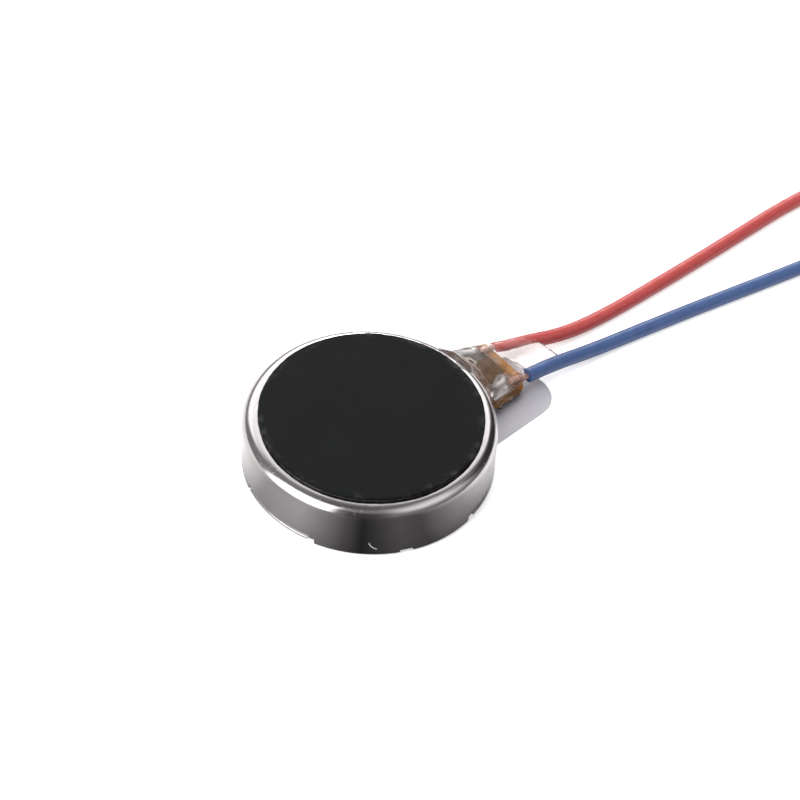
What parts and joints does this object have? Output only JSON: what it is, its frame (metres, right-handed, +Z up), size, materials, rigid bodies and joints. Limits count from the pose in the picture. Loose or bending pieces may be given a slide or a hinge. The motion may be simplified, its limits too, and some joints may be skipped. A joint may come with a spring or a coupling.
{
  "type": "vibration motor",
  "caption": "Flat round coin vibration motor: steel can on a base plate, off-centre rotor inside, foam top pad, taped underside with pull tab and two thin leads.",
  "frame": {"origin": "middle of the motor on its underside, the face that is stuck down", "axes": "+Z up along the shaft, +X towards the side where the leads leave, +Y to the left of that"},
  "size_m": [0.037, 0.022, 0.0026],
  "materials": {
    "can_steel": "bright drawn sheet with fine scratches",
    "plate_steel": "bright plated sheet",
    "shaft_steel": "ground and polished",
    "nickel_plate": "nickel plate over a sintered magnet",
    "bond_resin": "cured bonding resin",
    "polyimide": "amber film, glossy",
    "copper": "bare copper foil",
    "brush_alloy": "spring alloy strip",
    "solder": "bright solder",
    "washer_film": "punched film",
    "tinned_copper": "tinned strands",
    "clear_glue": "clear cured glue, wet gloss",
    "black_foam": "fine closed-cell foam, satin",
    "adhesive_film": "double-sided tape",
    "liner_film": "milky release film",
    "red_pvc": "satin extruded insulation",
    "blue_pvc": "satin extruded insulation",
    "sintered_bronze": "oil-filled sintered bronze",
    "board_green": "glass-epoxy board",
    "segment_gold": "gold flash over copper",
    "enamelled_copper": "enamelled wire, wound and bonded",
    "tungsten_grey": "sintered heavy alloy",
    "black_resin": "moulded resin"
  },
  "bodies": {
    "stator": {"case_can": "can_steel", "base_plate": "plate_steel", "shaft": "shaft_steel", "ring_magnet": "nickel_plate", "magnet_bond": "bond_resin", "flex_base_film": "polyimide", "flex_trace_positive": "copper", "flex_trace_negative": "copper", "flex_cover_film": "polyimide", "brush_positive": "brush_alloy", "brush_negative": "brush_alloy", "brush_solder_joints": "solder", "lower_thrust_washer": "washer_film", "upper_thrust_washer": "washer_film", "red_lead_core": "tinned_copper", "blue_lead_core": "tinned_copper", "red_lead_solder": "solder", "blue_lead_solder": "solder", "exit_glue": "clear_glue", "top_pad": "black_foam", "pad_adhesive": "adhesive_film", "mounting_tape": "adhesive_film", "release_liner": "liner_film", "red_lead": "red_pvc", "blue_lead": "blue_pvc", "red_lead_tip": "tinned_copper", "blue_lead_tip": "tinned_copper"},
    "rotor": {"bearing_bush": "sintered_bronze", "rotor_board": "board_green", "commutator_segments": "segment_gold", "coil_left": "enamelled_copper", "coil_right": "enamelled_copper", "counterweight": "tungsten_grey", "rotor_resin": "black_resin", "coil_solder_joints": "solder"}
  },
  "joints": [
    {"name": "rotor_spin", "type": "hinge", "parent": "stator", "child": "rotor", "pos_m": [0, 0, 0.0017], "axis": [0, 0, 1], "continuous": true}
  ]
}
